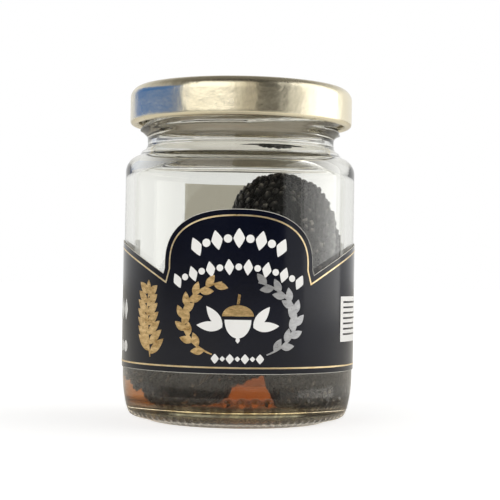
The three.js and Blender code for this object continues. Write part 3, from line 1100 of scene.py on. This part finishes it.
def addCard(name, azimuth, distance, width, height, middle, colour, mirrored, softEnds):
    mesh = flatSquare(name, width / 2, height / 2)
    material = bpy.data.materials.new(name)
    material.use_nodes = True
    nodes, links = material.node_tree.nodes, material.node_tree.links
    nodes.remove(nodes["Principled BSDF"])
    glow = nodes.new("ShaderNodeEmission")
    glow.inputs["Color"].default_value = (*colour, 1)
    clear = nodes.new("ShaderNodeBsdfTransparent")
    place = nodes.new("ShaderNodeTexCoord")
    split = nodes.new("ShaderNodeSeparateXYZ")
    links.new(place.outputs["Object"], split.inputs["Vector"])
    across = nodes.new("ShaderNodeMath")
    across.operation = "ABSOLUTE"
    links.new(split.outputs["X"], across.inputs[0])
    mix = nodes.new("ShaderNodeMixShader")  # its ends fade out
    fade = spread(nodes, links, across.outputs[0], 0, 1, (0.5 - softEnds) * width, 0.5 * width)
    links.new(fade, mix.inputs[0])
    links.new(glow.outputs[0], mix.inputs[1])
    links.new(clear.outputs[0], mix.inputs[2])
    links.new(mix.outputs[0], nodes["Material Output"].inputs["Surface"])
    mesh.materials.append(material)
    card = addObject(name, mesh)
    card.location, card.rotation_euler = facing(azimuth, distance, middle)
    card.visible_camera = False
    card.visible_shadow = False
    card.visible_diffuse = False
    card.visible_glossy = mirrored
    card.visible_transmission = not mirrored


def addFloor():
    size = 4.0
    mesh = flatSquare("studioFloor", size, size)
    material = bpy.data.materials.new("studioPaper")
    material.use_nodes = True
    nodes, links = material.node_tree.nodes, material.node_tree.links
    shader = nodes["Principled BSDF"]
    setSockets(shader, Roughness=0.9, Emission_Color=(1, 0.95, 0.84, 1))
    bright = nodes.new("ShaderNodeBsdfDiffuse")
    bright.inputs["Color"].default_value = (0.5, 0.5, 0.5, 1)
    glow = nodes.new("ShaderNodeEmission")
    place = nodes.new("ShaderNodeTexCoord")
    away = nodes.new("ShaderNodeVectorMath")
    away.operation = "LENGTH"
    links.new(place.outputs["Object"], away.inputs[0])
    # painted shade and light: seen from the camera, the floor glows less near the jar for a soft shadow
    # there, and more far out where the lamps don't reach
    links.new(spread(nodes, links, away.outputs["Value"], 0.72, 1.02, 0.03, 0.2), glow.inputs["Strength"])
    near = spread(nodes, links, away.outputs["Value"], 0, 1, 0, 0.1)
    light = [(0.0, 0.6), (0.27, 0.7), (0.31, 0), (0.4, 0), (1.0, 0.3)]  # a painted pool of light: the floor glows under the jar for the light that gets down through the glass, and glows a little farther out
    paintedLightPool = ramp(nodes, links, near, [(reach, (value, value, value)) for reach, value in light])
    links.new(paintedLightPool, shader.inputs["Emission Strength"])
    shade = nodes.new("ShaderNodeVectorMath")  # painted shadow: the floor is painted darker in front of the jar, where whoever looks at the jar stands in the light
    shade.operation = "DISTANCE"
    shade.inputs[1].default_value = (0.01, -0.15, 0)
    links.new(place.outputs["Object"], shade.inputs[0])
    fade = spread(nodes, links, shade.outputs["Value"], 0, 1, 0.03, 0.12)
    paint(nodes, links, fade, shader, [(0, (0.3, 0.29, 0.28)), (1, (0.84, 0.82, 0.77))])
    both = nodes.new("ShaderNodeAddShader")
    path = nodes.new("ShaderNodeLightPath")
    mix = nodes.new("ShaderNodeMixShader")
    links.new(bright.outputs[0], both.inputs[0])
    links.new(glow.outputs[0], both.inputs[1])
    links.new(path.outputs["Is Camera Ray"], mix.inputs[0])
    links.new(shader.outputs[0], mix.inputs[1])
    links.new(both.outputs[0], mix.inputs[2])
    links.new(mix.outputs[0], nodes["Material Output"].inputs["Surface"])
    mesh.materials.append(material)
    addObject("studioFloor", mesh)


def addWorld():
    world = bpy.data.worlds.new("studioRoom")
    scene.world = world
    world.use_nodes = True
    nodes, links = world.node_tree.nodes, world.node_tree.links
    room = nodes["Background"]
    place = nodes.new("ShaderNodeTexCoord")
    split = nodes.new("ShaderNodeSeparateXYZ")
    links.new(place.outputs["Generated"], split.inputs["Vector"])
    # bright behind the jar, dim in front of it and overhead
    behind = ramp(nodes, links, spread(nodes, links, split.outputs["Y"], 0, 1, -1, 1), [
        (0.0, (0.025, 0.025, 0.025)),
        (0.36, (0.08, 0.078, 0.074)),
        (0.56, (0.78, 0.78, 0.76)),
        (0.75, (0.88, 0.88, 0.87)),
    ])
    above = ramp(nodes, links, split.outputs["Z"], [(0.35, (1, 1, 1)), (0.8, (0.22, 0.21, 0.19))])
    tone = nodes.new("ShaderNodeMix")
    tone.data_type = "RGBA"
    tone.blend_type = "MULTIPLY"
    tone.inputs["Factor"].default_value = 1.0
    links.new(behind, tone.inputs["A"])
    links.new(above, tone.inputs["B"])
    links.new(tone.outputs["Result"], room.inputs["Color"])
    white = nodes.new("ShaderNodeBackground")
    white.inputs["Color"].default_value = (1, 1, 1, 1)
    path = nodes.new("ShaderNodeLightPath")
    mix = nodes.new("ShaderNodeMixShader")
    links.new(path.outputs["Is Camera Ray"], mix.inputs[0])
    links.new(room.outputs[0], mix.inputs[1])
    links.new(white.outputs[0], mix.inputs[2])
    links.new(mix.outputs[0], nodes["World Output"].inputs["Surface"])


for name in ["keyBox", "sideBox", "paleBox"]:
    addSoftbox(name, *studio[name])
addSoftbox("goldBox", *studio["goldBox"], onlyOn=[lidShell])
addSoftbox("fillBox", *studio["fillBox"], onlyOn=[labelStrip] + printed)
bpy.data.objects["fillBox"].visible_glossy = False
# something blue that the lid mirrors, and something beige behind the glass
addCard("blueCard", *studio["blueCard"], mirrored=True, softEnds=0.17)
addCard("backCard", *studio["backCard"], mirrored=False, softEnds=0.01)
addFloor()
addWorld()
scene.view_settings.view_transform = "Standard"
scene.cycles.caustics_refractive = True
scene.cycles.transmission_bounces = 16
scene.cycles.max_bounces = 20
scene.cycles.transparent_max_bounces = 16
print("studio ready")


camera = {
    "distance": 0.3526,  # from the jar's axis
    "height": 0.03645,
    "lens": 100.3,
    "tiltUp": 1.03,
    "aimRight": 0.45,
    "roll": 0.9,
}


def addCamera():
    data = bpy.data.cameras.new("camera")
    data.lens = camera["lens"]
    data.sensor_width = 36
    data.clip_start = 0.01
    obj = addObject("camera", data)
    turn = Matrix.Rotation(math.radians(-camera["aimRight"]), 4, "Z")
    tilt = Matrix.Rotation(math.radians(90 + camera["tiltUp"]), 4, "X")
    roll = Matrix.Rotation(math.radians(camera["roll"]), 4, "Z")
    place = Matrix.Translation((0, -camera["distance"], camera["height"]))
    obj.matrix_world = place @ turn @ tilt @ roll
    scene.camera = obj


addCamera()
print("camera ready")
